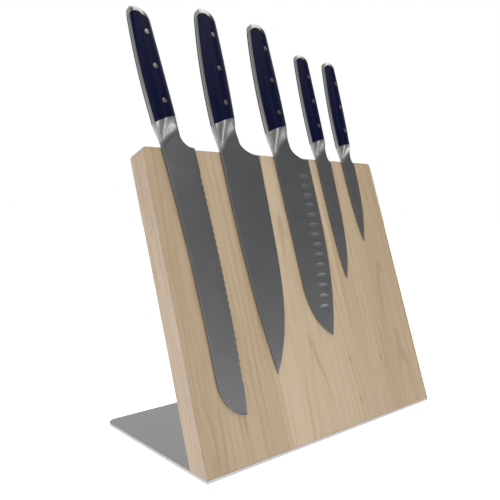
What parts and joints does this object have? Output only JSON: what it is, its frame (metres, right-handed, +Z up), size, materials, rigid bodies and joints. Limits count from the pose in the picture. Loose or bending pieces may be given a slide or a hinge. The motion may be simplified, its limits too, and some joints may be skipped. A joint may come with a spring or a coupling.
{
  "type": "magnetic knife stand with knives",
  "caption": "Leaning wooden board with hidden magnets on a flat steel base, holding forged kitchen knives by their blades; each knife pulls straight off the face.",
  "frame": {"origin": "middle of the footprint on the surface the feet stand on", "axes": "+X along the board's width, from the bread knife to the paring knife; +Y to the back; +Z up"},
  "size_m": [0.292, 0.162, 0.3895],
  "materials": {
    "maple": "satin clear-coated maple, upright grain",
    "panel_wood": "satin maple",
    "base_steel": "fine brushed, bright edges",
    "blade_steel": "satin ground along the blade",
    "cap_steel": "polished",
    "rivet_steel": "polished flush",
    "handle_blue": "glossy navy",
    "magnet": "dark ceramic magnet",
    "strip_steel": "plain mild steel",
    "screw_steel": "plain",
    "foot_rubber": "matt translucent grey"
  },
  "bodies": {
    "stand": {"back_panel": "panel_wood", "base_plate": "base_steel", "base_screw_far_left": "screw_steel", "base_screw_far_right": "screw_steel", "base_screw_left": "screw_steel", "base_screw_right": "screw_steel", "board": "maple", "foot_back_left": "foot_rubber", "foot_back_right": "foot_rubber", "foot_front_left": "foot_rubber", "foot_front_right": "foot_rubber", "lower_backing_strip": "strip_steel", "lower_magnet_1": "magnet", "lower_magnet_2": "magnet", "lower_magnet_3": "magnet", "lower_magnet_4": "magnet", "panel_screw_lower_left": "screw_steel", "panel_screw_lower_right": "screw_steel", "panel_screw_upper_left": "screw_steel", "panel_screw_upper_right": "screw_steel", "upper_backing_strip": "strip_steel", "upper_magnet_1": "magnet", "upper_magnet_2": "magnet", "upper_magnet_3": "magnet", "upper_magnet_4": "magnet"},
    "bread_knife": {"bread_knife_blade": "blade_steel", "bread_knife_end_cap": "cap_steel", "bread_knife_far_scale": "handle_blue", "bread_knife_near_scale": "handle_blue", "bread_knife_rivet_1": "rivet_steel", "bread_knife_rivet_2": "rivet_steel", "bread_knife_rivet_3": "rivet_steel"},
    "chef_knife": {"chef_knife_blade": "blade_steel", "chef_knife_end_cap": "cap_steel", "chef_knife_far_scale": "handle_blue", "chef_knife_near_scale": "handle_blue", "chef_knife_rivet_1": "rivet_steel", "chef_knife_rivet_2": "rivet_steel", "chef_knife_rivet_3": "rivet_steel"},
    "santoku_knife": {"santoku_knife_blade": "blade_steel", "santoku_knife_end_cap": "cap_steel", "santoku_knife_far_scale": "handle_blue", "santoku_knife_near_scale": "handle_blue", "santoku_knife_rivet_1": "rivet_steel", "santoku_knife_rivet_2": "rivet_steel", "santoku_knife_rivet_3": "rivet_steel"},
    "utility_knife": {"utility_knife_blade": "blade_steel", "utility_knife_end_cap": "cap_steel", "utility_knife_far_scale": "handle_blue", "utility_knife_near_scale": "handle_blue", "utility_knife_rivet_1": "rivet_steel", "utility_knife_rivet_2": "rivet_steel", "utility_knife_rivet_3": "rivet_steel"},
    "paring_knife": {"paring_knife_blade": "blade_steel", "paring_knife_end_cap": "cap_steel", "paring_knife_far_scale": "handle_blue", "paring_knife_near_scale": "handle_blue", "paring_knife_rivet_1": "rivet_steel", "paring_knife_rivet_2": "rivet_steel", "paring_knife_rivet_3": "rivet_steel"}
  },
  "joints": [
    {"name": "bread_knife_pull", "type": "slide", "parent": "stand", "child": "bread_knife", "axis": [0, -0.9472, 0.3206], "range_m": [0, 0.06]},
    {"name": "chef_knife_pull", "type": "slide", "parent": "stand", "child": "chef_knife", "axis": [0, -0.9472, 0.3206], "range_m": [0, 0.06]},
    {"name": "santoku_knife_pull", "type": "slide", "parent": "stand", "child": "santoku_knife", "axis": [0, -0.9472, 0.3206], "range_m": [0, 0.06]},
    {"name": "utility_knife_pull", "type": "slide", "parent": "stand", "child": "utility_knife", "axis": [0, -0.9472, 0.3206], "range_m": [0, 0.06]},
    {"name": "paring_knife_pull", "type": "slide", "parent": "stand", "child": "paring_knife", "axis": [0, -0.9472, 0.3206], "range_m": [0, 0.06]}
  ]
}
